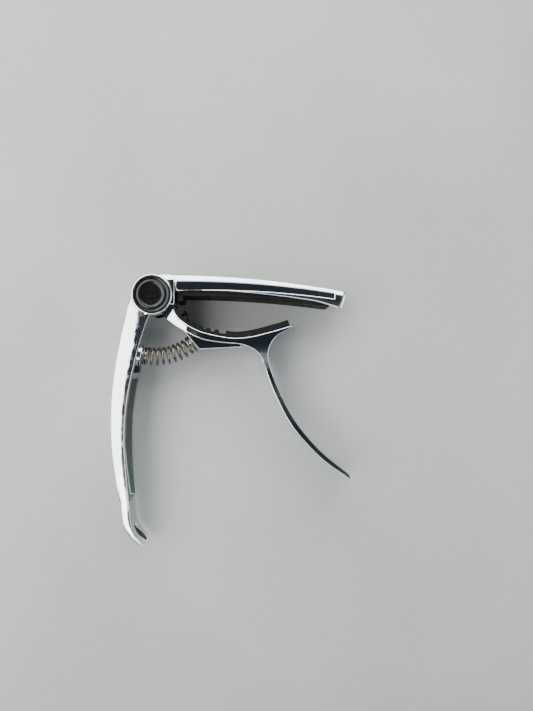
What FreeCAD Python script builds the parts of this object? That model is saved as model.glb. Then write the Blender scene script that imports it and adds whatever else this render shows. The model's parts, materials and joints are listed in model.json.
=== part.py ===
import FreeCAD, Part
import math
import os

# Spring-loaded guitar capo, lying flat on its side. Millimetres.
# X runs along the string bar, Y runs up from the handles to the bar, and Z is
# the capo's width. The pivot's axis is X = Y = 0, and Z = 0 is the side that
# the capo lies on.

# ---- driving dimensions: the casting with the bar and the back handle ----
overall_width = 18.0        # pivot boss, back handle and trigger grip, along Z
boss_wall = 1.6             # metal round the knuckle's pocket
boss_edge = 0.5             # break on the boss's rims
throat_wall = 0.8           # metal past the boss where the bar's throat begins
throat_side = 0.6           # its sides, in from the boss's

bar_length = 72.0           # pivot's axis to the tip of the string bar
bar_height = 5.8            # bar's casting, back to underside
bar_width = 15.2            # bar's casting along Z, past the boss
bar_tip_width = 13.4
bar_neck_end = 21.0         # where the bar has narrowed from the boss to bar_width
bar_back_radius = 346.0     # long curve of the bar's back
bar_apex_x = 6.8            # where that curve is level
bar_round = 1.6             # rounding of the bar's back edges
lip_length = 3.0            # lip at the tip that covers the pad's end
lip_drop = 1.0              # lip below the bar's underside

handle_length = 93.6        # pivot's axis down to the tip of the back handle
handle_back_radius = 150.0  # long curve of the back handle
handle_reach = 15.35        # how far the back handle bows out
handle_round = 1.4          # rounding of its outer edges
channel_width = 12.4        # hollow in the back handle's inner side
channel_wall = 2.1          # metal left behind the hollow
channel_corner = 0.6
channel_top = -30.6
channel_foot = 1.9          # solid metal between the hollow and the fork
pocket_top = -26.0          # small pocket above the hollow, with a rib between
pocket_bottom = -28.8
fork_length = 14.7          # two-pronged bridge-pin puller at the foot
fork_width = 12.0
fork_slot = 5.4
fork_slot_length = 9.5

# ---- driving dimensions: the casting with the jaw and the trigger ----
knuckle_radius = 5.6        # jaw's round knuckle inside the boss
knuckle_gap = 0.4
tongue_width = 7.4          # knuckle and tongue along Z
tongue_top = -22.0          # tongue's sides, degrees about the pivot
tongue_bottom = -62.0
stop_gap = 0.6              # degrees between a tongue's side and its stop
open_angle = 24.0           # jaw's travel, degrees
jaw_reach = 51.9            # pivot's axis to the tip of the jaw
jaw_root_width = 16.0
jaw_tip_width = 14.6
trigger_neck_width = 10.4
trigger_grip_share = 0.97   # trigger's grip, as a share of overall_width
lug_width = 9.0             # web under the arm that carries the spring's seat
lug_reach = 26.4            # pivot's axis to the lug's far corner
lug_end = (34.0, -19.2)

# ---- driving dimensions: the pivot ----
pin_radius = 2.5
pin_head_ledge = 1.5        # rivet's head, beyond its shank
pin_head = 0.8
pin_running_gap = 0.05      # radial, in the knuckle's bore
washer_thickness = 0.45
washer_inset = 0.6          # washer's rim inside the knuckle's
washer_gap = 0.05           # washer to knuckle, each side
cap_rim = 1.0               # boss's rim round each cap
cap_thickness = 2.0
cap_air = 0.1               # rivet's head to the cap
cap_ring_inset = 1.7        # cap's rim to the middle of its ring groove
cap_ring_width = 0.7
cap_ring_depth = 0.3

# ---- driving dimensions: pads and spring ----
string_pad_width = 11.6
string_pad_sink = 1.2       # pad's depth in the bar's channel
string_pad_root = 2.2       # pad's depth below the bar, at the pivot end
string_pad_tip = 0.9        # and at the tip
heel_length = 2.6           # the pad's turned-down heel
heel_y = -2.4               # how low the heel reaches
fretboard_radius = 400.0    # curve of the face that presses the strings
pad_clearance = 1.2         # boss to the string pad

neck_pad_width = 13.0
neck_pad_base = 1.2         # thin ribbed stretch
neck_pad_slab = 2.4         # thick stretch at the tip
first_rib_at = 2.4          # first, larger rib, measured along the jaw's face
first_rib_height = 1.9
first_rib_radius = 1.5
rib_radius = 0.95
rib_height = 1.3
rib_count = 5
rib_pitch = 3.4

spring_arc_radius = 22.6    # pivot's axis to the spring's curved centre line
spring_outer = 3.5
spring_wire = 0.9
seat_handle_angle = -102.0  # the spring's two seats, degrees about the pivot
seat_jaw_angle = -49.5
seat_rim = 0.6              # seat's radius beyond the spring's
seat_depth = 2.5            # seat's root in the casting
peg_gap = 0.35              # peg inside the spring
peg_length = 2.4
peg_edge = 0.7

# ---- sizes that follow ----
mid = overall_width / 2
boss_radius = knuckle_radius + knuckle_gap + boss_wall
pocket_width = tongue_width + 2 * (washer_thickness + washer_gap)
pocket_low, pocket_high = mid - pocket_width / 2, mid + pocket_width / 2
tongue_low, tongue_high = mid - tongue_width / 2, mid + tongue_width / 2
washer_radius = knuckle_radius - washer_inset
pin_head_radius = pin_radius + pin_head_ledge
cap_radius = boss_radius - cap_rim
spring_inner = spring_outer - spring_wire
bar_centre_y = -math.sqrt((bar_back_radius - boss_radius) ** 2 - bar_apex_x**2)
pad_start = boss_radius + pad_clearance
lip_tip = bar_length - 3.4
pad_end = lip_tip - lip_length
handle_foot = handle_length - fork_length
handle_apex = -handle_foot * 0.59
up = FreeCAD.Vector(0, 0, 1)
over = 2.0                  # how far cutting and blanking solids run past the part


def point(x, y, z=0.0):
    return FreeCAD.Vector(x, y, z)


def polar(radius, degrees, z=0.0):
    turn = math.radians(degrees)
    return point(radius * math.cos(turn), radius * math.sin(turn), z)


def line(a, b):
    return Part.LineSegment(a, b).toShape()


def arc(a, b, c):
    return Part.Arc(a, b, c).toShape()


def spline(points, **tangents):
    curve = Part.BSplineCurve()
    curve.interpolate(Points=points, **tangents)
    return curve.toShape()


def polygon(points):
    return [line(a, b) for a, b in zip(points, points[1:] + points[:1])]


def slab(edges, low, high, direction=up):
    """Closed outline of edges, extruded from low to high along direction."""
    face = Part.Face(Part.Wire(Part.__sortEdges__(edges)))
    face.translate(direction * low)
    return face.extrude(direction * (high - low))


def cylinder(radius, low, high):
    return Part.makeCylinder(radius, high - low, point(0, 0, low))


def sector(radius, start, end, low, high):
    """Wedge about the pivot's axis, from start to end degrees."""
    middle = polar(radius, (start + end) / 2)
    first, last = polar(radius, start), polar(radius, end)
    edges = [line(point(0, 0), first), arc(first, middle, last), line(last, point(0, 0))]
    return slab(edges, low, high)


def rounded(solid, radius, wanted):
    """Solid with the edges that wanted accepts rounded to radius."""
    return solid.makeFillet(radius, [edge for edge in solid.Edges if wanted(edge)])


def width_band(stations, along):
    """Outline, seen along the profile, with a half width at each station."""
    near, far = (
        [along * at + point(0, 0, mid + side * half) for at, half in stations]
        for side in (1, -1)
    )
    return [spline(near), line(near[-1], far[-1]), spline(far), line(far[0], near[0])]


# ---- string bar ----
def bar_point(x, depth):
    """Point at x, and depth below the bar's curved back."""
    radius = bar_back_radius - depth
    return point(x, bar_centre_y + math.sqrt(radius**2 - (x - bar_apex_x) ** 2))


def bar_curve(x1, x2, depth):
    return arc(bar_point(x1, depth), bar_point((x1 + x2) / 2, depth), bar_point(x2, depth))


def bar_outline():
    back_end = bar_length - 2.4
    corner = bar_point(bar_length, 1.4)
    lip = bar_point(lip_tip, bar_height + lip_drop)
    lip_back = bar_point(pad_end, bar_height + lip_drop)
    root_top = bar_point(0.5, 0.4)
    root_low = bar_point(0.5, bar_height + 2)
    return [
        line(root_top, bar_point(bar_apex_x, 0)),
        bar_curve(bar_apex_x, back_end, 0),
        arc(bar_point(back_end, 0), bar_point(bar_length - 0.7, 0.42), corner),
        line(corner, lip),
        line(lip, lip_back),
        line(lip_back, bar_point(pad_end, bar_height)),
        bar_curve(pad_end, pad_start, bar_height),
        line(bar_point(pad_start, bar_height), root_low),
        line(root_low, root_top),
    ]


def on_bar_back(edge):
    """True for the two long edges of the bar's back."""
    box = edge.BoundBox
    return box.YMin > bar_point(bar_length, 3.0).y and box.XLength > 5 and box.ZLength < mid


def string_bar():
    """Bar as wide as the boss at its root, narrowing to a slim beam."""
    root, beam, tip = mid - 0.9, bar_width / 2, bar_tip_width / 2
    boss_side = boss_radius * 0.7
    blend = (boss_radius + bar_neck_end) / 2
    stations = [
        (-over, root),
        (boss_side, root),
        (blend, (root + beam) / 2),
        (bar_neck_end, beam),
        (bar_neck_end * 0.6 + bar_length * 0.4, beam * 0.6 + tip * 0.4),
        (bar_neck_end * 0.3 + bar_length * 0.7, beam * 0.3 + tip * 0.7),
        (bar_length + 1, tip),
    ]
    profile = slab(bar_outline(), -over, overall_width + over)
    band = slab(width_band(stations, point(1, 0)), -bar_length, bar_length, point(0, 1))
    return rounded(profile.common(band), bar_round, on_bar_back)


def throat():
    """Web that squares the boss off against the bar's underside."""
    end = boss_radius + throat_wall
    corners = [
        point(boss_radius / 2, boss_radius * 0.75),
        point(end, boss_radius * 0.75),
        point(end, -3.2),
        point(end - 0.5, -3.9),
        point(boss_radius / 2, -2.5),
    ]
    return slab(polygon(corners), throat_side, overall_width - throat_side)


def pad_channel():
    """Channel in the bar's underside that the string pad sits in."""
    floor, below = bar_height - string_pad_sink, bar_height + lip_drop * 0.9
    edges = [
        bar_curve(pad_start, pad_end, floor),
        line(bar_point(pad_end, floor), bar_point(pad_end, below)),
        bar_curve(pad_end, pad_start, below),
        line(bar_point(pad_start, below), bar_point(pad_start, floor)),
    ]
    return slab(edges, mid - string_pad_width / 2, mid + string_pad_width / 2)


# ---- back handle ----
def handle_back(y, inset=0.0):
    """Point of the back handle's outer curve at y, inset towards its inner side."""
    radius = handle_back_radius - inset
    drop = y - handle_apex
    x = handle_back_radius - handle_reach - math.sqrt(radius**2 - drop**2)
    return point(x, y)


def handle_outline():
    top, foot = handle_back(-1.5), handle_back(-handle_foot)
    tip, inner_tip = point(-3.8, -handle_length), point(-3.5, -handle_length + 0.8)
    fork_back = [
        foot,
        point(-10.2, -handle_length + 5.8),
        point(-7.2, -handle_length + 2.5),
        tip,
    ]
    crotch = polar(boss_radius + 0.44, -95.7)
    inner = [
        crotch,
        point(-3.9, -16.7),
        point(-6.1, -24.0),
        point(-8.3, -0.445 * handle_foot),
        point(-10.0, -0.675 * handle_foot),
        point(-9.5, -0.86 * handle_foot),
        point(-8.4, -handle_foot - 4.2),
        point(-6.9, -handle_foot - 9.0),
        inner_tip,
    ]
    return [
        arc(top, handle_back(-handle_foot / 2), foot),
        spline(fork_back, InitialTangent=point(0.215, -0.976)),
        line(tip, inner_tip),
        spline(inner),
        line(crotch, point(0, 0)),
        line(point(0, 0), top),
    ]


def on_handle_back(edge):
    """True for the long outer edges of the back handle and its fork."""
    at = edge.valueAt((edge.FirstParameter + edge.LastParameter) / 2)
    outer = at.x - handle_back(max(at.y, -handle_foot)).x < 3
    return outer and edge.Length > 12 and edge.BoundBox.ZLength < mid


def back_handle():
    full, fork = mid - 0.1, fork_width / 2
    stations = [
        (-over, full),
        (handle_foot * 0.25, full),
        (handle_foot * 0.55, full - 0.05),
        (handle_foot * 0.8, full * 0.6 + fork * 0.4),
        (handle_foot + 4, fork),
        (handle_length + over, fork),
    ]
    profile = slab(handle_outline(), -over, overall_width + over)
    band = slab(width_band(stations, point(0, -1)), -2 * handle_reach, handle_reach, point(1, 0))
    return rounded(profile.common(band), handle_round, on_handle_back)


def handle_hollow(top, bottom):
    """Hollow in the back handle's inner side, leaving channel_wall behind it."""
    wall = [handle_back(y, channel_wall) for y in (top, (top + bottom) / 2, bottom)]
    outside = [point(handle_reach / 2, bottom), point(handle_reach / 2, top)]
    edges = [
        arc(*wall),
        line(wall[2], outside[0]),
        line(outside[0], outside[1]),
        line(outside[1], wall[0]),
    ]
    hollow = slab(edges, mid - channel_width / 2, mid + channel_width / 2)
    return rounded(hollow, channel_corner, along_x)


def along_x(edge):
    return edge.BoundBox.YLength < 0.1 and edge.BoundBox.ZLength < 0.1


def fork_gap():
    """Slot between the fork's prongs, running out along the foot's slope."""
    root = point(-6.0, -handle_length + 8.0)
    run, across = point(0.55, -0.835), point(0.835, 0.55)
    reach, half = fork_slot_length + over, 6.0
    corners = [
        root - across * half,
        root - across * half + run * reach,
        root + across * half + run * reach,
        root + across * half,
    ]
    return slab(polygon(corners), mid - fork_slot / 2, mid + fork_slot / 2)


# ---- the spring's seats ----
def seat(angle, way):
    """Round seat for an end of the spring, with the peg that holds it. The seat's
    face is radial, at angle, and its peg points way (1 or -1) round the pivot."""
    centre = polar(spring_arc_radius, angle, mid)
    along = polar(1, angle + 90 * way)
    base = Part.makeCylinder(spring_outer + seat_rim, seat_depth, centre - along * seat_depth, along)
    peg = Part.makeCylinder(spring_inner - peg_gap, peg_length, centre, along)
    peg = rounded(peg, peg_edge, lambda edge: (edge.CenterOfMass - centre).Length > peg_length * 0.9)
    return base.fuse(peg)


# ---- jaw and trigger ----
shoulder_top = polar(boss_radius + 1.58, -33.0)
shoulder_low = polar(boss_radius + 2.71, -59.7)
jaw_face_points = [
    shoulder_top,
    point(10.5, -9.1),
    point(17.8, -13.4),
    point(28.7, -15.75),
    point(36.0, -15.4),
    point(jaw_reach - 8.3, -13.6),
    point(jaw_reach - 0.5, -11.3),
]
trigger_front = [
    point(jaw_reach - 2.2, -13.1),
    point(46.0, -15.2),
    point(43.3, -19.3),
    point(43.1, -24.2),
    point(46.2, -33.5),
    point(52.5, -45.9),
    point(61.6, -56.9),
    point(72.6, -65.9),
]
trigger_back = [
    point(71.9, -67.5),
    point(61.4, -59.6),
    point(51.5, -48.5),
    point(45.2, -36.6),
    point(41.2, -25.8),
    point(38.6, -21.2),
    point(33.5, -18.5),
    point(25.1, -17.6),
    point(17.8, -16.2),
    point(10.5, -12.6),
    shoulder_low,
]


def jaw_outline():
    return [
        line(shoulder_low, shoulder_top),
        spline(jaw_face_points),
        arc(jaw_face_points[-1], point(jaw_reach, -12.0), trigger_front[0]),
        spline(trigger_front),
        arc(trigger_front[-1], point(73.0, -67.0), trigger_back[0]),
        spline(trigger_back),
    ]


def jaw_blank():
    """The jaw's arm and trigger handle, each as wide as its own stretch needs."""
    root, tip, neck = jaw_root_width / 2, jaw_tip_width / 2, trigger_neck_width / 2
    grip = mid * trigger_grip_share
    arm_stations = [(3, root), (20, root), (36, root * 0.3 + tip * 0.7), (jaw_reach + 4, tip)]
    grip_stations = [
        (21.5, tip - 0.2),
        (27, neck),
        (38, neck * 0.6 + grip * 0.4),
        (50, grip),
        (60, grip),
        (69, mid * 0.8),
    ]
    arm_zone = slab(width_band(arm_stations, point(1, 0)), -22.5, 5, point(0, 1))
    grip_zone = slab(width_band(grip_stations, point(0, -1)), 36, 80, point(1, 0))
    profile = slab(jaw_outline(), -over, overall_width + over)
    return profile.common(arm_zone.fuse(grip_zone))


def lug():
    """Web under the arm that carries the spring's seat."""
    corners = [
        polar(spring_arc_radius - 6.0, seat_jaw_angle),
        polar(lug_reach, seat_jaw_angle),
        point(*lug_end),
        point(lug_end[0] - 3, lug_end[1] + 2.5),
    ]
    return slab(polygon(corners), mid - lug_width / 2, mid + lug_width / 2)


def tongue():
    """Knuckle on the pivot, and the neck that joins it to the jaw's shoulder."""
    reach = boss_radius + 0.5
    shoulder = [
        polar(knuckle_radius, tongue_bottom),
        shoulder_low,
        point(10.5, -12.6),
        point(10.5, -9.1),
        shoulder_top,
        polar(reach, tongue_top - 10),
    ]
    knuckle = cylinder(knuckle_radius, tongue_low, tongue_high)
    neck = sector(reach, tongue_bottom, tongue_top, tongue_low, tongue_high)
    return knuckle.fuse([neck, slab(polygon(shoulder), tongue_low, tongue_high)])


# ---- the pieces ----
def make_bar_handle():
    """Casting of the string bar, the boss with its two ears, and the back handle."""
    boss = cylinder(boss_radius, 0, overall_width)
    boss = rounded(boss, boss_edge, lambda edge: edge.BoundBox.ZLength < 0.01)
    body = boss.fuse([string_bar(), throat(), back_handle(), seat(seat_handle_angle, 1)])
    stop_low = tongue_bottom - open_angle - stop_gap
    cuts = [
        pad_channel(),
        cylinder(knuckle_radius + knuckle_gap, pocket_low, pocket_high),
        sector(boss_radius * 2, stop_low, tongue_top + stop_gap, pocket_low, pocket_high),
        cylinder(pin_radius, 0, overall_width),
        cylinder(cap_radius, 0, cap_thickness),
        cylinder(cap_radius, overall_width - cap_thickness, overall_width),
        handle_hollow(channel_top, -handle_foot + channel_foot),
        handle_hollow(pocket_top, pocket_bottom),
        fork_gap(),
    ]
    return body.cut(cuts).removeSplitter()


def make_jaw_handle():
    """Casting of the knuckle, the jaw's arm, the spring's lug and the trigger."""
    body = jaw_blank().fuse([lug(), seat(seat_jaw_angle, -1), tongue()])
    bore = cylinder(pin_radius + pin_running_gap, tongue_low, tongue_high)
    return body.cut(bore).removeSplitter()


def make_pivot_pin():
    """Rivet through both ears and the knuckle, headed under each cap."""
    low, high = cap_thickness, overall_width - cap_thickness
    shank = cylinder(pin_radius, low, high)
    heads = [cylinder(pin_head_radius, z, z + pin_head) for z in (low - pin_head, high)]
    return shank.fuse(heads).removeSplitter()


def make_washer(low):
    high = low + washer_thickness
    return cylinder(washer_radius, low, high).cut(cylinder(pin_radius, low, high))


def make_cap():
    """Disc that closes the recess over the rivet's head, with its face at Z = 0."""
    disc = cylinder(cap_radius, 0, cap_thickness)
    hollow = cylinder(pin_head_radius + 0.4, cap_thickness - pin_head - cap_air, cap_thickness)
    ring_middle, half = cap_radius - cap_ring_inset, cap_ring_width / 2
    groove = cylinder(ring_middle + half, 0, cap_ring_depth)
    groove = groove.cut(cylinder(ring_middle - half, 0, cap_ring_depth))
    return disc.cut([hollow, groove])


def make_return_spring():
    """Room of the coil spring, bent round the pivot between its two seats."""
    start = polar(spring_arc_radius, seat_handle_angle, mid)
    along = polar(1, seat_handle_angle + 90)
    outer, inner = (
        Part.Face(Part.Wire(Part.makeCircle(radius, start, along))).revolve(
            point(0, 0), up, seat_jaw_angle - seat_handle_angle
        )
        for radius in (spring_outer, spring_inner)
    )
    return outer.cut(inner)


def string_pad_face(x):
    """Point at x on the string pad's pressing face."""
    root = bar_point(pad_start, bar_height).y - string_pad_root
    tip = bar_point(pad_end, bar_height).y - string_pad_tip
    share = (x - pad_start) / (pad_end - pad_start)
    bulge = (x - pad_start) * (pad_end - x) / (2 * fretboard_radius)
    return point(x, root + (tip - root) * share + bulge)


def make_string_pad():
    """Rubber strip in the bar's channel, with a heel turned down beside the boss."""
    floor = bar_height - string_pad_sink
    heel_x = pad_start + heel_length
    heel_out, heel_in = point(pad_start, heel_y), point(heel_x, heel_y)
    face_end, face_start = string_pad_face(pad_end), string_pad_face(heel_x)
    edges = [
        bar_curve(pad_start, pad_end, floor),
        line(bar_point(pad_end, floor), face_end),
        arc(face_end, string_pad_face((pad_end + heel_x) / 2), face_start),
        line(face_start, heel_in),
        line(heel_in, heel_out),
        line(heel_out, bar_point(pad_start, floor)),
    ]
    return slab(edges, mid - string_pad_width / 2, mid + string_pad_width / 2)


def over_face(face, length, height):
    """Point over the jaw's face: length along it and height above it."""
    at = face.getParameterByLength(length)
    tangent = face.tangentAt(at)
    return face.valueAt(at) + point(-tangent.y, tangent.x) * height


def pad_strip(face, start, end, height):
    """Rubber of one height over the jaw's face, between two lengths along it."""
    steps = 12
    lengths = [start + (end - start) * i / steps for i in range(steps + 1)]
    above = [over_face(face, length, height) for length in lengths]
    below = [over_face(face, length, -0.6) for length in lengths]
    edges = [spline(above), line(above[-1], below[-1]), spline(below), line(below[0], above[0])]
    return slab(edges, mid - neck_pad_width / 2, mid + neck_pad_width / 2)


def pad_rib(face, length, height, radius):
    foot = over_face(face, length, height) + point(0, 0, mid - neck_pad_width / 2)
    return Part.makeCylinder(radius, neck_pad_width, foot)


def make_neck_pad(jaw):
    """Rubber on the jaw: a ribbed stretch by the pivot and a thick one at the tip."""
    face = spline(jaw_face_points)
    slab_start = first_rib_at + (rib_count + 1) * rib_pitch
    ribs = [pad_rib(face, first_rib_at, first_rib_height, first_rib_radius)]
    for i in range(1, rib_count + 1):
        ribs.append(pad_rib(face, first_rib_at + i * rib_pitch, rib_height, rib_radius))
    thin = pad_strip(face, 0.6, slab_start + 0.5, neck_pad_base)
    thick = pad_strip(face, slab_start, face.Length - 0.3, neck_pad_slab)
    return thin.fuse([thick] + ribs).cut(jaw).removeSplitter()


jaw_handle = make_jaw_handle()
cap = make_cap()
pieces = {
    "bar_handle": make_bar_handle(),
    "jaw_handle": jaw_handle,
    "string_pad": make_string_pad(),
    "neck_pad": make_neck_pad(jaw_handle),
    "pivot_pin": make_pivot_pin(),
    "washer_back": make_washer(pocket_low),
    "washer_front": make_washer(pocket_high - washer_thickness),
    "back_cap": cap,
    "front_cap": cap.mirror(point(0, 0, mid), up),
    "return_spring": make_return_spring(),
}

os.makedirs("parts", exist_ok=True)
for name, shape in pieces.items():
    shape.exportStep(f"parts/{name}.step")
    print(f"{name:14} valid {shape.isValid()}  solids {len(shape.Solids)}  {shape.Volume:9.1f} mm3")
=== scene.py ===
import json
import math

import bmesh
import bpy
from mathutils import Matrix, Vector


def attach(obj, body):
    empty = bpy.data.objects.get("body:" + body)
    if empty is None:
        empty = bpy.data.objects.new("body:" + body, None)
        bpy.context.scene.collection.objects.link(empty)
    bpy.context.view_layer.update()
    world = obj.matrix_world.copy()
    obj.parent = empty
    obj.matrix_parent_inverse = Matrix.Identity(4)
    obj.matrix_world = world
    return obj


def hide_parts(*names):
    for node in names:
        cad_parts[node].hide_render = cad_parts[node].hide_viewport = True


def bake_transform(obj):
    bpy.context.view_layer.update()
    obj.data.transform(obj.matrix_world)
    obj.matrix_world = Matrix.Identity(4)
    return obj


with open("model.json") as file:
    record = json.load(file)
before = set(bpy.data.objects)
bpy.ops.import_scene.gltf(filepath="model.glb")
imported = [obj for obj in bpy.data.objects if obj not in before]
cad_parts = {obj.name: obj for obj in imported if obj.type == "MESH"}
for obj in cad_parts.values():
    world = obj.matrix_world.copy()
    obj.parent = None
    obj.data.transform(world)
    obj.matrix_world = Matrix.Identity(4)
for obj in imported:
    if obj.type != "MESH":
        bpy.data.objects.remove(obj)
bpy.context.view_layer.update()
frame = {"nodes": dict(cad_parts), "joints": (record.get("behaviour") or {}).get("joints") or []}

# ---- camera, light and floor ----
# The capo lies on its side on a pale sheet, with the camera straight above it.
# Large soft panels stand low round it and the room is dark overhead, so that flat
# chrome is nearly black and every rounded edge is bright.
mm = 0.001
pivot = Vector(frame["joints"][0]["pos_m"])
camera_place = Vector((31.3, -27.7, 199))
capo_middle = Vector((25, -30, 0))

camera_data = bpy.data.cameras.new("camera")
camera_data.lens = 26.4
camera_data.shift_x, camera_data.shift_y = 0.0415, 0.0204
camera = bpy.data.objects.new("camera", camera_data)
camera.location = pivot + camera_place * mm
bpy.context.scene.collection.objects.link(camera)
bpy.context.scene.camera = camera


def panel_light(name, offset, size, power, tint=(1.0, 1.0, 1.0)):
    """Soft rectangular panel, offset from the capo and facing it."""
    data = bpy.data.lights.new(name, "AREA")
    data.shape = "RECTANGLE"
    data.size, data.size_y = size
    data.energy, data.color = power, tint
    panel = bpy.data.objects.new(name, data)
    panel.location = pivot + capo_middle * mm + Vector(offset)
    panel.rotation_euler = (-Vector(offset)).to_track_quat("-Z", "Y").to_euler()
    bpy.context.scene.collection.objects.link(panel)


panel_light("panel_left", (-0.29, 0.03, 0.35), (0.64, 0.32), 3.4)
panel_light("panel_left_low", (-0.46, 0.0, 0.12), (0.36, 0.12), 0.45, (0.86, 0.93, 1.0))
panel_light("panel_back", (0.02, 0.40, 0.27), (0.62, 0.36), 3.7)
panel_light("panel_right", (0.44, -0.06, 0.14), (0.44, 0.16), 0.80, (0.92, 0.96, 1.0))
panel_light("panel_front", (-0.08, -0.34, 0.36), (0.40, 0.22), 0.60, (0.92, 0.96, 1.0))

world = bpy.data.worlds.new("room")
world.use_nodes = True
bpy.context.scene.world = world
room = world.node_tree
direction = room.nodes.new("ShaderNodeTexCoord")
height = room.nodes.new("ShaderNodeSeparateXYZ")
sky = room.nodes.new("ShaderNodeValToRGB")
sky.color_ramp.elements[0].color = (0.30, 0.32, 0.33, 1)
sky.color_ramp.elements[1].color = (0.012, 0.020, 0.028, 1)
for at, tone in ((0.20, 0.20), (0.40, 0.42), (0.60, 0.60), (0.84, 0.36), (0.93, 0.07)):
    sky.color_ramp.elements.new(at).color = (tone * 0.94, tone, tone * 1.08, 1)
room.links.new(direction.outputs["Generated"], height.inputs[0])
room.links.new(height.outputs["Z"], sky.inputs["Fac"])
room.links.new(sky.outputs["Color"], room.nodes["Background"].inputs["Color"])


def material_of(name, colour, metallic, roughness, **more):
    """Material, its node tree and its shader; more sets further shader sockets."""
    material = bpy.data.materials.new(name)
    material.use_nodes = True
    shader = material.node_tree.nodes["Principled BSDF"]
    shader.inputs["Base Color"].default_value = (*colour, 1)
    shader.inputs["Metallic"].default_value = metallic
    shader.inputs["Roughness"].default_value = roughness
    for socket, value in more.items():
        shader.inputs[socket.replace("_", " ")].default_value = value
    return material, material.node_tree, shader


def noise(tree, per_mm, detail=3.0, stretch=(1, 1, 1)):
    """Noise with per_mm features to a millimetre of the piece, times stretch."""
    place = tree.nodes.new("ShaderNodeTexCoord")
    scaled = tree.nodes.new("ShaderNodeMapping")
    scaled.inputs["Scale"].default_value = Vector(stretch) * (per_mm / mm)
    texture = tree.nodes.new("ShaderNodeTexNoise")
    texture.inputs["Scale"].default_value = 1.0
    texture.inputs["Detail"].default_value = detail
    tree.links.new(place.outputs["Object"], scaled.inputs["Vector"])
    tree.links.new(scaled.outputs["Vector"], texture.inputs["Vector"])
    return texture.outputs["Fac"]


def tones(tree, source, shader, dark, light):
    """Base colour from dark to light as source rises."""
    ramp = tree.nodes.new("ShaderNodeValToRGB")
    for stop, at, colour in zip(ramp.color_ramp.elements, (0.35, 0.65), (dark, light)):
        stop.position, stop.color = at, (*colour, 1)
    tree.links.new(source, ramp.inputs["Fac"])
    tree.links.new(ramp.outputs["Color"], shader.inputs["Base Color"])


def object_of(name, bm, *materials):
    """Object at the origin that holds a finished mesh."""
    mesh = bpy.data.meshes.new(name)
    bm.to_mesh(mesh)
    bm.free()
    for material in materials:
        mesh.materials.append(material)
    made = bpy.data.objects.new(name, mesh)
    bpy.context.scene.collection.objects.link(made)
    return made


pale_sheet, tree, shader = material_of("pale_sheet", (0.62, 0.63, 0.62), 0.0, 0.75)
tones(tree, noise(tree, 0.009), shader, (0.36, 0.37, 0.36), (0.42, 0.43, 0.42))
sheet_half = 0.9
sheet_mesh = bmesh.new()
bmesh.ops.create_grid(sheet_mesh, x_segments=1, y_segments=1, size=sheet_half)
object_of("floor_sheet", sheet_mesh, pale_sheet)

# ---- string bar and back handle ----
# One zinc casting, polished and chrome plated: a slim bar with a long curved back
# and a shallow panel on each side, the round boss of the pivot, and a bowed handle
# that is hollow on its inner side and thins to a two-pronged pin puller.
mid = pivot.z / mm
width = 2 * mid
boss_radius = 7.6
back_radius = 346.0
back_apex = 6.8
cap_radius = 6.6
cap_thickness = 2.0


def vary(tree, source, socket, low, high, start=0.35, end=0.65):
    """Drive socket from low to high as source goes from start to end."""
    spread = tree.nodes.new("ShaderNodeMapRange")
    for name, value in zip(("From Min", "From Max", "To Min", "To Max"), (start, end, low, high)):
        spread.inputs[name].default_value = value
    tree.links.new(source, spread.inputs["Value"])
    tree.links.new(spread.outputs["Result"], socket)


def relief(tree, source, shader, height_mm, strength=1.0):
    """Bump of height_mm from source."""
    bump = tree.nodes.new("ShaderNodeBump")
    bump.inputs["Distance"].default_value = height_mm * mm
    bump.inputs["Strength"].default_value = strength
    tree.links.new(source, bump.inputs["Height"])
    tree.links.new(bump.outputs["Normal"], shader.inputs["Normal"])


chrome, tree, shader = material_of("chrome_plate", (0.80, 0.81, 0.82), 1.0, 0.06)
vary(tree, noise(tree, 0.45, 5.0), shader.inputs["Roughness"], 0.03, 0.10)
relief(tree, noise(tree, 0.20, 1.5), shader, 0.16, 0.5)

cast_hollow, tree, shader = material_of("plated_as_cast", (0.42, 0.47, 0.45), 1.0, 0.32)
tones(tree, noise(tree, 1.1, 5.0), shader, (0.37, 0.42, 0.40), (0.48, 0.53, 0.51))
relief(tree, noise(tree, 2.2, 2.0), shader, 0.06, 0.5)


def smooth_run(stations, steps):
    """Stations joined by a smooth curve, with steps to each stretch."""
    rows = [Vector(station) for station in stations]
    rows = [rows[0] * 2 - rows[1], *rows, rows[-1] * 2 - rows[-2]]
    run = []
    for a, b, c, d in zip(rows, rows[1:], rows[2:], rows[3:]):
        for i in range(steps):
            t = i / steps
            bend = (a * 2 - b * 5 + c * 4 - d) * (t * t) + (b * 3 - a - c * 3 + d) * t**3
            run.append(b + ((c - a) * t + bend) / 2)
    return run + [rows[-2]]


def bar_back(x, depth=0.0):
    """Point at x, and depth below the bar's long curved back."""
    centre = math.sqrt((back_radius - boss_radius) ** 2 - back_apex**2)
    radius = back_radius - depth
    return Vector((x, math.sqrt(radius**2 - (x - back_apex) ** 2) - centre))


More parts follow.
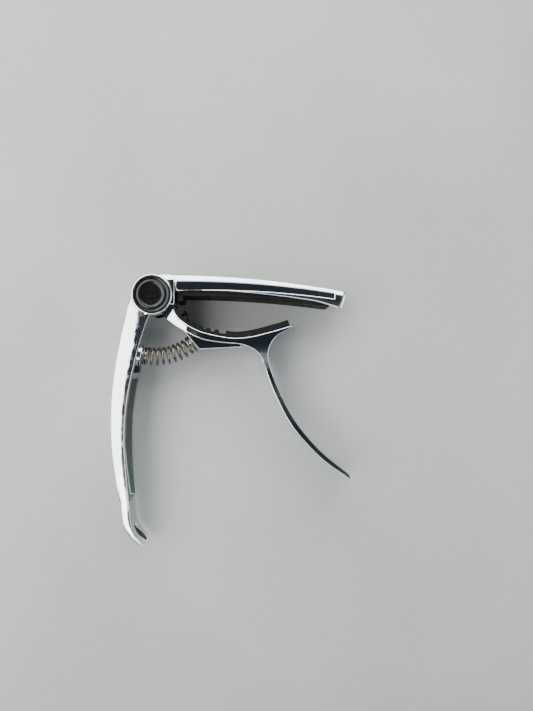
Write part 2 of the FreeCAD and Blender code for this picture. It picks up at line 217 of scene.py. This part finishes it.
def lofted(stations, root_section, tip_section, nose=()):
    """Casting through stations of outer point, inner point and half width. Half of
    its section changes from root to tip. Each runs from the outer side to the inner
    one, in shares of the depth and of the half width. nose gives the reach and the
    shrinkage of the sections that close the tip."""
    run = smooth_run([(*outer, *inner, half) for outer, inner, half in stations], 5)
    half_profiles = [smooth_run(section, 4) for section in (root_section, tip_section)]
    sections = [(Vector(at[0:2]), Vector(at[2:4]), at[4], 1.0) for at in run]
    outer, inner, half, _ = sections[-1]
    depth = (outer - inner).normalized()
    for reach, shrink in nose:
        ahead = Vector((depth.y, -depth.x)) * reach
        sections.append((outer + ahead, inner + ahead, half, shrink))
    bm = bmesh.new()
    first, last = None, None
    for place, (outer, inner, half, shrink) in enumerate(sections):
        toward_tip = min(1.0, place / (len(run) - 1))
        half_profile = [root.lerp(tip, toward_tip) for root, tip in zip(*half_profiles)]
        ring = bmesh.ops.create_circle(bm, segments=2 * len(half_profile) - 2, radius=1)["verts"]
        edges = list(dict.fromkeys(edge for vert in ring for edge in vert.link_edges))
        middle = (outer + inner) / 2
        for i, vert in enumerate(ring):
            near = i < len(half_profile)
            share, side = half_profile[i if near else len(ring) - i]
            flat = middle + (inner + (outer - inner) * share - middle) * shrink
            rise = (side if near else -side) * half * shrink
            vert.co = Vector((flat.x, flat.y, mid + rise)) * mm
        if last:
            bmesh.ops.bridge_loops(bm, edges=last + edges)
        first, last = first or edges, edges
    for edges in (first, last):
        bmesh.ops.contextual_create(bm, geom=edges)
    bmesh.ops.recalc_face_normals(bm, faces=bm.faces)
    return bm


def soften(bm, edges, offset, segments=3):
    """Round edges by offset."""
    bmesh.ops.bevel(
        bm, geom=edges, offset=offset * mm, offset_type="OFFSET", affect="EDGES",
        segments=segments, profile=0.5, material=-1, clamp_overlap=True,
    )


def level(edges):
    """Edges that lie across the capo's width, such as the rims of a block."""
    return [edge for edge in edges if abs(edge.verts[0].co.z - edge.verts[1].co.z) < 1e-7]


def block(points, low, high, rim=0.0, upright=0.0):
    """Outline of points made a block from low to high along the capo's width, with
    its upright edges and its rims rounded."""
    bm = bmesh.new()
    face = bm.faces.new([bm.verts.new((x * mm, y * mm, low * mm)) for x, y in points])
    raised = bmesh.ops.extrude_face_region(bm, geom=[face])["geom"]
    verts = [part for part in raised if isinstance(part, bmesh.types.BMVert)]
    bmesh.ops.translate(bm, verts=verts, vec=(0, 0, (high - low) * mm))
    bmesh.ops.recalc_face_normals(bm, faces=bm.faces)
    if upright:
        rims = level(bm.edges)
        soften(bm, [edge for edge in bm.edges if edge not in rims], upright)
    if rim:
        soften(bm, level(bm.edges), rim)
    return bm


def drum(radius, low, high, rim=0.0, segments=96):
    """Round block about the pivot's axis."""
    bm = bmesh.new()
    bmesh.ops.create_cone(
        bm, cap_ends=True, segments=segments, depth=(high - low) * mm,
        radius1=radius * mm, radius2=radius * mm,
    )
    bmesh.ops.translate(bm, verts=bm.verts, vec=(0, 0, (low + high) / 2 * mm))
    if rim:
        soften(bm, level(bm.edges), rim, 4)
    return bm


def polar(radius, degrees):
    """Point at a radius and an angle about the pivot's axis."""
    turn = math.radians(degrees)
    return Vector((radius * math.cos(turn), radius * math.sin(turn)))


def wedge(radius, start, end, low, high):
    """Sector about the pivot's axis, from start to end degrees."""
    rim = [polar(radius, start + (end - start) * i / 24) for i in range(25)]
    return block([Vector((0, 0)), *rim], low, high)


spring_arc = 22.6
handle_seat, jaw_seat = -102.0, -49.5


def turned(profile, steps):
    """Solid turned about Z from a profile of (radius, height) that starts and ends
    on the axis."""
    bm = bmesh.new()
    verts = [bm.verts.new((radius * mm, 0, rise * mm)) for radius, rise in profile]
    edges = [bm.edges.new(pair) for pair in zip(verts, verts[1:])]
    bmesh.ops.spin(
        bm, geom=verts + edges, cent=(0, 0, 0), axis=(0, 0, 1), angle=2 * math.pi, steps=steps,
        use_merge=True,
    )
    bmesh.ops.remove_doubles(bm, verts=bm.verts, dist=1e-7)
    bmesh.ops.recalc_face_normals(bm, faces=bm.faces)
    return bm


def spring_seat(degrees, way):
    """Round seat for an end of the spring, with the peg that holds it."""
    peg = [(4.0, 0.03), (2.25, 0.03), (2.25, 1.75), (2.1, 2.15), (1.7, 2.38), (0, 2.4)]
    bm = turned([(0, -2.5), (4.1, -2.5), (4.1, -0.07), *peg], 48)
    lay = Matrix.Rotation(math.radians(-90 * way), 4, "X")
    turn = Matrix.Rotation(math.radians(degrees), 4, "Z")
    place = Matrix.Translation((*(polar(spring_arc, degrees) * mm), mid * mm))
    bmesh.ops.transform(bm, matrix=place @ turn @ lay, verts=bm.verts)
    return bm


def worked(piece, operation, *tools):
    """Join tools to piece, or cut them out of it, for good."""
    for tool in tools:
        step = piece.modifiers.new("step", "BOOLEAN")
        step.operation, step.solver, step.object = operation, "EXACT", tool
    seen = piece.evaluated_get(bpy.context.evaluated_depsgraph_get())
    mesh = bpy.data.meshes.new_from_object(seen)
    piece.modifiers.clear()
    piece.data = mesh
    for tool in tools:
        bpy.data.objects.remove(tool)


def fitted(piece, body, node, sharp=35):
    """Smooth shading between sharp edges, and the piece's place in the capo."""
    weld = 0.005 * mm
    bm = bmesh.new()
    bm.from_mesh(piece.data)
    bmesh.ops.remove_doubles(bm, verts=bm.verts, dist=weld)
    bmesh.ops.dissolve_degenerate(bm, edges=bm.edges, dist=weld)
    bm.to_mesh(piece.data)
    bm.free()
    piece.data.shade_smooth()
    piece.data.set_sharp_from_angle(angle=math.radians(sharp))
    even = piece.modifiers.new("even_shading", "WEIGHTED_NORMAL")
    even.keep_sharp = True
    if body:
        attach(piece, body)
    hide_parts(node)


bar_stations = [
    (bar_back(x), bar_back(x, depth), half)
    for x, depth, half in (
        (2, 8.0, 8.3), (6, 7.0, 8.3), (10, 6.2, 8.2), (15, 5.8, 7.8), (21, 5.8, 7.55),
        (30, 5.8, 7.4), (40, 5.8, 7.2), (50, 5.8, 7.0), (60, 5.8, 6.8), (66, 6.4, 6.7),
    )
]
bar_stations.append((Vector((71.0, 1.6)), bar_back(69.0, 6.8), 6.6))
bar_root_section = [
    (1.0, 0.0), (1.0, 0.50), (0.985, 0.80), (0.94, 0.86), (0.80, 0.915), (0.65, 0.96),
    (0.51, 0.99), (0.44, 1.0), (0.25, 1.0), (0.06, 1.0), (0.0, 0.95), (0.0, 0.6), (0.0, 0.0),
]
bar_tip_section = [
    (1.0, 0.0), (1.0, 0.50), (0.99, 0.80), (0.96, 0.88), (0.89, 0.93), (0.82, 0.97),
    (0.75, 0.99), (0.68, 1.0), (0.42, 1.0), (0.18, 0.955), (0.0, 0.88), (0.0, 0.6), (0.0, 0.0),
]
bar_nose = ((0.35, 0.985), (0.9, 0.94), (1.35, 0.86), (1.6, 0.72))

handle_stations = [
    (Vector(outer), Vector(inner), half)
    for outer, inner, half in (
        ((-5.0, 4.0), (3.0, -4.0), 8.7), ((-8.4, -1.5), (-0.8, -8.0), 8.8),
        ((-10.3, -9.0), (-2.7, -12.8), 8.85), ((-12.0, -16.5), (-4.4, -18.2), 8.9),
        ((-13.6, -25.0), (-6.4, -26.0), 8.9), ((-14.9, -35.0), (-8.4, -35.3), 8.9),
        ((-15.35, -45.0), (-9.7, -45.2), 8.85), ((-15.2, -55.0), (-10.0, -55.0), 8.5),
        ((-14.4, -64.0), (-9.7, -64.0), 7.8), ((-13.1, -72.5), (-9.1, -72.2), 7.0),
        ((-11.9, -79.0), (-8.6, -78.5), 6.3), ((-11.1, -85.2), (-8.2, -84.0), 6.0),
        ((-9.0, -89.4), (-6.8, -88.0), 6.0), ((-6.2, -91.9), (-5.0, -90.6), 6.0),
        ((-3.8, -93.55), (-3.5, -92.7), 5.95),
    )
]
handle_section = [
    (1.0, 0.0), (1.0, 0.6), (0.99, 0.80), (0.965, 0.88), (0.91, 0.925), (0.82, 0.948),
    (0.70, 0.965), (0.55, 0.98), (0.40, 0.99), (0.25, 0.997), (0.12, 1.0), (0.05, 1.0),
    (0.01, 0.985), (0.0, 0.95), (0.0, 0.6), (0.0, 0.0),
]

throat_outline = [(3.8, 5.7), (8.4, 5.7), (8.4, -3.2), (7.9, -3.9), (3.8, -2.5)]
throat_side = 0.6
pin_radius = 2.5
boss = drum(boss_radius, 0, width, 0.7, 128)
bar_handle = object_of("bar_and_back_handle", boss, chrome, cast_hollow)
worked(
    bar_handle, "UNION",
    object_of("bar", lofted(bar_stations, bar_root_section, bar_tip_section, bar_nose), chrome),
    object_of("handle", lofted(handle_stations, handle_section, handle_section), chrome),
    object_of("throat", block(throat_outline, throat_side, width - throat_side, 0.4), chrome),
    object_of("seat", spring_seat(handle_seat, 1), chrome),
)


panel_floor, floor_slope = 7.4, 0.0189
upper_line, upper_slope = 2.75, 0.019
lower_line, lower_slope = 6.7, 0.041


def side_panel(way):
    """Cutter for the shallow panel in one side of the bar. Its floor follows the bar's
    taper, so it is as deep all along."""
    xs = [9.6 + i * 2 for i in range(30)]
    upper = [bar_back(x, upper_line - upper_slope * x) for x in xs]
    lower = [bar_back(x, lower_line - lower_slope * x) for x in reversed(xs)]
    corners = [bar_back(8.7, 5.6), bar_back(8.6, 3.9), bar_back(8.8, 3.1)]
    bm = block(upper + lower + corners, 0, 4.0, 0.35)
    for vert in bm.verts:
        side = panel_floor - floor_slope * vert.co.x / mm + vert.co.z / mm
        vert.co.z = (mid + side * way) * mm
    bmesh.ops.recalc_face_normals(bm, faces=bm.faces)
    return bm


hollow_back = [(-12.77, -33.0), (-13.22, -45.0), (-13.0, -57.0), (-12.1, -66.0), (-10.7, -76.5)]
hollow_outline = [(-12.45, -30.6), *hollow_back, (-4, -76.5), (-4, -30.6)]
pocket_outline = [(-11.7, -26.0), (-12.1, -28.8), (-3, -28.8), (-3, -26.0)]
fork_outline = [(-11.0, -88.9), (-3.8, -99.8), (6.2, -93.2), (-1.0, -82.3)]
room_radius, mouth_reach, mouth_start, mouth_end = 6.0, 15, -86.6, -21.4
room_low, room_high = mid - 4.2, mid + 4.2
hollow_low, hollow_high = mid - 6.2, mid + 6.2
fork_low, fork_high = mid - 2.7, mid + 2.7
worked(
    bar_handle, "DIFFERENCE",
    object_of("panel_near", side_panel(1), chrome),
    object_of("panel_far", side_panel(-1), chrome),
    object_of("hollow", block(hollow_outline, hollow_low, hollow_high, 0.5), cast_hollow),
    object_of("pocket", block(pocket_outline, hollow_low, hollow_high, 0.5), cast_hollow),
    object_of("fork_slot", block(fork_outline, fork_low, fork_high, 0.5, 0.8), chrome),
    object_of("knuckle_room", drum(room_radius, room_low, room_high), chrome),
    object_of(
        "knuckle_mouth", wedge(mouth_reach, mouth_start, mouth_end, room_low, room_high), chrome
    ),
    object_of("recess_far", drum(cap_radius, -1, cap_thickness), chrome),
    object_of("recess_near", drum(cap_radius, width - cap_thickness, width + 1), chrome),
    object_of("pin_hole", drum(pin_radius, -1, width + 1, 0.0, 48), chrome),
)
fitted(bar_handle, "bar", "bar_handle")

# ---- jaw and trigger ----
# The second chrome-plated casting: a knuckle that turns between the boss's ears, an
# arm with the neck pad's face, a web under it for the spring, and a flared trigger.
jaw_reach = 51.9
jaw_face = [
    polar(9.18, -33.0), (10.5, -9.1), (17.8, -13.4), (28.7, -15.75), (36.0, -15.4),
    (43.6, -13.6), (51.4, -11.3),
]
trigger_front = [
    (49.7, -13.1), (46.0, -15.2), (43.3, -19.3), (43.1, -24.2), (46.2, -33.5), (52.5, -45.9),
    (61.6, -56.9), (72.3, -65.7),
]
trigger_end = [(72.85, -66.25), (73.05, -66.85), (72.7, -67.4)]
trigger_back = [
    (71.9, -67.5), (61.4, -59.6), (51.5, -48.5), (45.2, -36.6), (41.2, -25.8), (38.6, -21.2),
    (33.5, -18.5), (25.1, -17.6), (17.8, -16.2), (10.5, -12.6), polar(10.31, -59.7),
]
arm_halves = [
    (2, 6.2), (5, 6.5), (9, 7.0), (15, 7.75), (21, 8.0), (32, 7.9), (42, 7.6), (54, 7.25),
]
grip_halves = [
    (18, 7.4), (23, 6.6), (28, 5.4), (33, 5.6), (40, 7.0), (50, 8.6), (60, 8.7), (65, 8.6),
    (70, 8.2),
]


def read_off(stations):
    """Function that reads the smooth curve through stations at any place."""
    run = smooth_run(stations, 8)

    def value(at):
        for a, b in zip(run, run[1:]):
            if at <= b.x:
                break
        return a.y + (b.y - a.y) * (at - a.x) / (b.x - a.x)

    return value


arm_half, grip_half = read_off(arm_halves), read_off(grip_halves)
grip_side, grip_top, grip_run_in = 36.0, 17.0, 7.0


def jaw_half_width(x, y):
    """Half width of the jaw at a place: the arm's, which runs into the trigger's over
    the first few millimetres below the arm."""
    share = min(1.0, max(0.0, (-y - grip_top) / grip_run_in)) if x > grip_side else 0.0
    share = share * share * (3 - 2 * share)
    return arm_half(x) * (1 - share) + grip_half(max(-y, grip_halves[0][0])) * share


def flat_casting(points, half_width, cell, rim):
    """Outline of points made a casting whose half width is read at each place. Rings
    let into its face round the rims by rim, the rest is cut into cells, and the half
    is mirrored."""
    bm = bmesh.new()
    face = bm.faces.new([bm.verts.new((x * mm, y * mm, 0)) for x, y in points])
    face.normal_update()
    if face.normal.z < 0:
        face.normal_flip()
    drop = {vert: rim for vert in bm.verts}
    steps = 4
    for i in range(1, steps + 1):
        turns = [math.pi / 2 * at / steps for at in (i - 1, i)]
        bmesh.ops.inset_individual(
            bm, faces=[face], thickness=(math.cos(turns[0]) - math.cos(turns[1])) * rim * mm,
            use_even_offset=True,
        )
        for vert in face.verts:
            drop[vert] = rim * (1 - math.sin(turns[1]))

    inner = [face]
    for axis in range(2):
        low, high = (end(point[axis] for point in points) for end in (min, max))
        normal = Vector((1 - axis, axis, 0))
        for i in range(1, int((high - low) / cell) + 1):
            edges = dict.fromkeys(edge for part in inner for edge in part.edges)
            verts = dict.fromkeys(vert for edge in edges for vert in edge.verts)
            cut = bmesh.ops.bisect_plane(
                bm, geom=[*verts, *edges, *inner], dist=1e-7,
                plane_co=normal * (low + i * cell) * mm, plane_no=normal,
            )
            inner = [part for part in cut["geom"] if isinstance(part, bmesh.types.BMFace)]

    outline = [edge for edge in bm.edges if len(edge.link_faces) == 1]
    for vert in bm.verts:
        vert.co.z = (half_width(vert.co.x / mm, vert.co.y / mm) - drop.get(vert, 0.0)) * mm
    wall = bmesh.ops.extrude_edge_only(bm, edges=outline)["geom"]
    for part in wall:
        if isinstance(part, bmesh.types.BMVert):
            part.co.z = 0
    bmesh.ops.mirror(
        bm, geom=bm.verts[:] + bm.edges[:] + bm.faces[:], axis="Z", merge_dist=0.002 * mm
    )
    bmesh.ops.translate(bm, verts=bm.verts, vec=(0, 0, mid * mm))
    bmesh.ops.recalc_face_normals(bm, faces=bm.faces)
    return bm


jaw_points = [
    *smooth_run(jaw_face, 6), Vector((jaw_reach, -12.0)), *smooth_run(trigger_front, 6),
    *(Vector(at) for at in trigger_end), *smooth_run(trigger_back, 6),
]
jaw = object_of("jaw_and_trigger", flat_casting(jaw_points, jaw_half_width, 2.0, 0.35), chrome)
knuckle_radius, bore_radius = 5.6, 2.55
tongue_low, tongue_high = mid - 3.7, mid + 3.7
web_low, web_high = mid - 4.5, mid + 4.5
neck_outline = [
    polar(3.0, -22), polar(8.1, -22), polar(8.1, -32), jaw_face[0], Vector((10.5, -9.6)),
    Vector((10.5, -12.2)), trigger_back[-1], polar(8.1, -62), polar(3.0, -62),
]
web_outline = [polar(16.6, jaw_seat), polar(26.4, jaw_seat), (34.0, -19.2), (31.0, -16.7)]
worked(
    jaw, "UNION",
    object_of("knuckle", drum(knuckle_radius, tongue_low, tongue_high), chrome),
    object_of("neck", block(neck_outline, tongue_low, tongue_high), chrome),
    object_of("web", block(web_outline, web_low, web_high, 0.4), chrome),
    object_of("seat", spring_seat(jaw_seat, -1), chrome),
)
bore = drum(bore_radius, tongue_low - 1, tongue_high + 1, 0.0, 48)
worked(jaw, "DIFFERENCE", object_of("bore", bore, chrome))
fitted(jaw, "jaw", "jaw_handle")

# ---- rubber pads ----
# Black silicone rubber: a plain strip let into the bar's underside, turned down in a
# heel beside the boss, and a pad glued to the jaw, ribbed near the pivot.
rubber, tree, shader = material_of(
    "black_silicone", (0.005, 0.005, 0.005), 0.0, 0.6, Specular_IOR_Level=0.16
)
tones(tree, noise(tree, 0.25, 4.0), shader, (0.003, 0.003, 0.003), (0.007, 0.007, 0.006))
vary(tree, noise(tree, 0.8, 4.0), shader.inputs["Roughness"], 0.48, 0.68)
relief(tree, noise(tree, 6.0, 2.0), shader, 0.02, 0.6)

pad_start, pad_end = boss_radius + 1.2, 65.6
bar_height = 5.8
string_pad_half, neck_pad_half = 5.8, 6.5
string_radius = 400.0
root_height, tip_height = 2.2, 0.9


def string_face(x):
    """Point of the string pad's gently curved pressing face."""
    root = bar_back(pad_start, bar_height).y - root_height
    tip = bar_back(pad_end, bar_height).y - tip_height
    along = x - pad_start
    left = pad_end - x
    straight = root + (tip - root) * along / (pad_end - pad_start)
    return Vector((x, straight + along * left / (2 * string_radius)))


heel_end = pad_start + 2.6
heel_foot, heel_corner = -2.4, 0.3
strip_xs = [pad_start + (pad_end - pad_start) * i / 24 for i in range(25)]
face_xs = [pad_end - (pad_end - heel_end) * i / 24 for i in range(25)]
string_outline = [
    *(bar_back(x, bar_height - 1.2) for x in strip_xs),
    *(string_face(x) for x in face_xs),
    Vector((heel_end, heel_foot + heel_corner)), Vector((heel_end - heel_corner, heel_foot)),
    Vector((pad_start + heel_corner, heel_foot)), Vector((pad_start, heel_foot + heel_corner)),
]
strip = block(string_outline, mid - string_pad_half, mid + string_pad_half, 0.45)
string_pad = object_of("string_pad_strip", strip, rubber)
fitted(string_pad, "bar", "string_pad")

first_rib, rib_pitch = 2.4, 3.4
rib_places = [(first_rib, 1.9, 1.5)]
rib_places += [(first_rib + rib_pitch * i, 1.3, 0.95) for i in range(1, 6)]
slab_start = first_rib + rib_pitch * 6
slab_height, groove_height = 2.4, 1.2


def pad_height(along):
    """Height of the neck pad over the jaw's face, at a length along it."""
    height = slab_height if along > slab_start else groove_height
    for place, foot, radius in rib_places:
        if abs(along - place) < radius:
            height = max(height, foot + math.sqrt(radius**2 - (along - place) ** 2))
    return height


face_run = smooth_run(jaw_face, 40)
above, below, along = [], [], 0.0
for a, b in zip(face_run, face_run[1:]):
    step = (b - a).length
    along += step
    if along < 0.6 or b.x > jaw_reach - 1.0:
        continue
    out = Vector((a.y - b.y, b.x - a.x)) / step
    above.append(b + out * pad_height(along))
    below.append(b - out * 0.4)
ribbed = block(above + below[::-1], mid - neck_pad_half, mid + neck_pad_half, 0.22)
neck_pad = object_of("neck_pad_ribbed", ribbed, rubber)
fitted(neck_pad, "jaw", "neck_pad", 50)

# ---- pivot ----
# A steel rivet with a nylon washer each side of the knuckle. A glossy black disc
# with a raised ring is pressed into the boss over each of its heads.
steel, tree, shader = material_of("rivet_steel", (0.48, 0.48, 0.47), 1.0, 0.3)
vary(tree, noise(tree, 1.2, 3.0, (1, 1, 6)), shader.inputs["Roughness"], 0.22, 0.42)
relief(tree, noise(tree, 3.0, 2.0, (1, 1, 8)), shader, 0.01, 0.5)
nylon, tree, shader = material_of("nylon", (0.62, 0.60, 0.54), 0.0, 0.5)
tones(tree, noise(tree, 0.8), shader, (0.56, 0.54, 0.48), (0.68, 0.66, 0.60))
vary(tree, noise(tree, 2.0), shader.inputs["Roughness"], 0.42, 0.58)
for node, material in (("pivot_pin", steel), ("washer_front", nylon), ("washer_back", nylon)):
    part = frame["nodes"][node]
    part.data.materials.clear()
    part.data.materials.append(material)

black_gloss, tree, shader = material_of(
    "black_gloss", (0.004, 0.004, 0.004), 0.0, 0.14, Specular_IOR_Level=0.35
)
tones(tree, noise(tree, 0.5), shader, (0.003, 0.003, 0.003), (0.006, 0.006, 0.005))
vary(tree, noise(tree, 0.9, 5.0), shader.inputs["Roughness"], 0.12, 0.20)
cap_profile = [
    (0.0, 1.62), (2.0, 1.62), (3.6, 1.64), (4.3, 1.68), (4.55, 1.86), (4.8, 1.92), (5.05, 1.86),
    (5.3, 1.70), (5.7, 1.72), (6.1, 1.84), (6.35, 1.92), (6.52, 1.90), (6.6, 1.78), (6.6, 0.0),
    (4.4, 0.0), (4.4, 0.9), (0.0, 0.9),
]

for name, node, flip in (("cap_near", "front_cap", 1), ("cap_far", "back_cap", -1)):
    bm = turned(cap_profile, 96)
    if flip > 0:
        bmesh.ops.translate(bm, verts=bm.verts, vec=(0, 0, (width - cap_thickness) * mm))
    else:
        bmesh.ops.rotate(bm, verts=bm.verts, matrix=Matrix.Rotation(math.pi, 3, "X"))
        bmesh.ops.translate(bm, verts=bm.verts, vec=(0, 0, cap_thickness * mm))
    fitted(object_of(name, bm, black_gloss), "bar", node, 50)

# ---- return spring ----
# Compression spring of round steel wire, sprung over a peg on each casting and bent
# round the pivot. Its end turns are closed. The real one shortens as the trigger is squeezed;
# this one is built at rest.
spring_steel, tree, shader = material_of("spring_steel", (0.26, 0.23, 0.19), 1.0, 0.26)
tones(tree, noise(tree, 0.7), shader, (0.10, 0.09, 0.075), (0.28, 0.24, 0.19))
vary(tree, noise(tree, 1.4, 4.0), shader.inputs["Roughness"], 0.18, 0.38)
coil_turns = 10.5
spring_radius = 3.5
spring_wire = 0.9
spring_length = spring_arc * math.radians(jaw_seat - handle_seat)
closed_rise = spring_wire * 1.04
open_turns = coil_turns - 2
open_rise = (spring_length - spring_wire - 2 * closed_rise) / open_turns

steps_to_a_turn = 28
spring_mesh = bmesh.new()
tip = bmesh.ops.create_circle(
    spring_mesh, cap_ends=True, segments=10, radius=spring_wire / 2 * mm
)["verts"]
bmesh.ops.rotate(spring_mesh, verts=tip, matrix=Matrix.Rotation(math.pi / 2, 3, "X"))
bmesh.ops.translate(
    spring_mesh, verts=tip, vec=Vector((spring_radius - spring_wire / 2, 0, spring_wire / 2)) * mm
)
end_of_wire = spring_mesh.verts[:] + spring_mesh.edges[:] + spring_mesh.faces[:]
for turns, rise in ((1, closed_rise), (open_turns, open_rise), (1, closed_rise)):
    steps = int(turns * steps_to_a_turn)
    end_of_wire = bmesh.ops.spin(
        spring_mesh, geom=end_of_wire, cent=(0, 0, 0), axis=(0, 0, 1), angle=2 * math.pi * turns,
        dvec=(0, 0, rise * turns / steps * mm), steps=steps, use_merge=False,
    )["geom_last"]
for vert in spring_mesh.verts:
    x, y, along = vert.co / mm
    place = polar(spring_arc + x, handle_seat + math.degrees(along / spring_arc))
    vert.co = Vector((place.x, place.y, mid + y)) * mm
bmesh.ops.recalc_face_normals(spring_mesh, faces=spring_mesh.faces)
spring = object_of("return_spring_coil", spring_mesh, spring_steel)
fitted(spring, None, "return_spring", 60)
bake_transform(spring)
